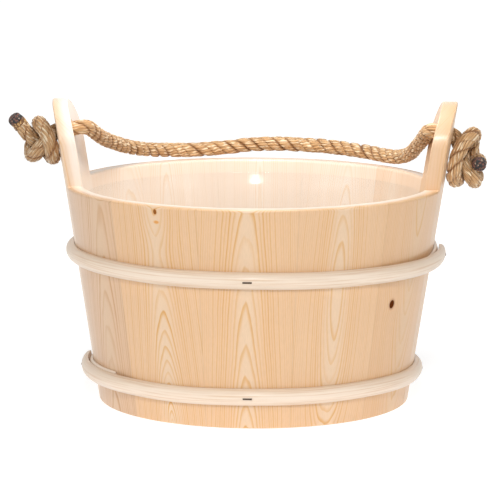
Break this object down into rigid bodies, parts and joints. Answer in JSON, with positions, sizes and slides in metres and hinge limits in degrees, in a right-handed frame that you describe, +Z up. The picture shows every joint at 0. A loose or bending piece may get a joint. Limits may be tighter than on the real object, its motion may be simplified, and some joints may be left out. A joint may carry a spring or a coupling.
{
  "type": "sauna bucket",
  "caption": "Coopered softwood sauna bucket with tapered staves, two lapped rod hoops, a clear plastic liner, and a rope handle knotted through a pair of tall rounded ears.",
  "frame": {"origin": "on the bucket's axis, in the plane of the foot that it stands on", "axes": "+Z up along the bucket's axis; +X through the right ear's rope hole; -Y is the front"},
  "size_m": [0.3521, 0.2886, 0.222],
  "materials": {
    "stave_wood": "clear lacquered pale pine, satin gloss",
    "bottom_wood": "plain planed pine",
    "hoop_wood": "pale split rod, satin",
    "staple_wire": "darkened wire",
    "clear_liner": "clear, glossy",
    "rope_fibre": "three-strand natural fibre, matt",
    "sealed_rope_tip": "dark sealed end"
  },
  "bodies": {
    "bucket": {"stave_front": "stave_wood", "stave_front_right": "stave_wood", "stave_right_front": "stave_wood", "ear_stave_right": "stave_wood", "stave_right_back": "stave_wood", "stave_back_right": "stave_wood", "stave_back": "stave_wood", "stave_back_left": "stave_wood", "stave_left_back": "stave_wood", "ear_stave_left": "stave_wood", "stave_left_front": "stave_wood", "stave_front_left": "stave_wood", "bottom_board_1": "bottom_wood", "bottom_board_2": "bottom_wood", "bottom_board_3": "bottom_wood", "upper_hoop": "hoop_wood", "lower_hoop": "hoop_wood", "upper_hoop_staple_front": "staple_wire", "upper_hoop_staple_right": "staple_wire", "upper_hoop_staple_back": "staple_wire", "upper_hoop_staple_left": "staple_wire", "lower_hoop_staple_front": "staple_wire", "lower_hoop_staple_right": "staple_wire", "lower_hoop_staple_back": "staple_wire", "lower_hoop_staple_left": "staple_wire", "rope_knot_left": "rope_fibre", "rope_tip_left": "sealed_rope_tip", "rope_knot_right": "rope_fibre", "rope_tip_right": "sealed_rope_tip"},
    "liner": {"liner": "clear_liner"},
    "handle": {"rope_span": "rope_fibre"}
  },
  "joints": [
    {"name": "handle_swing", "type": "hinge", "parent": "bucket", "child": "handle", "pos_m": [0, 0, 0.2], "axis": [1, 0, 0], "range_deg": [0, 204]},
    {"name": "liner_lift", "type": "slide", "parent": "bucket", "child": "liner", "axis": [0, 0, 1], "range_m": [0, 0.015]}
  ]
}
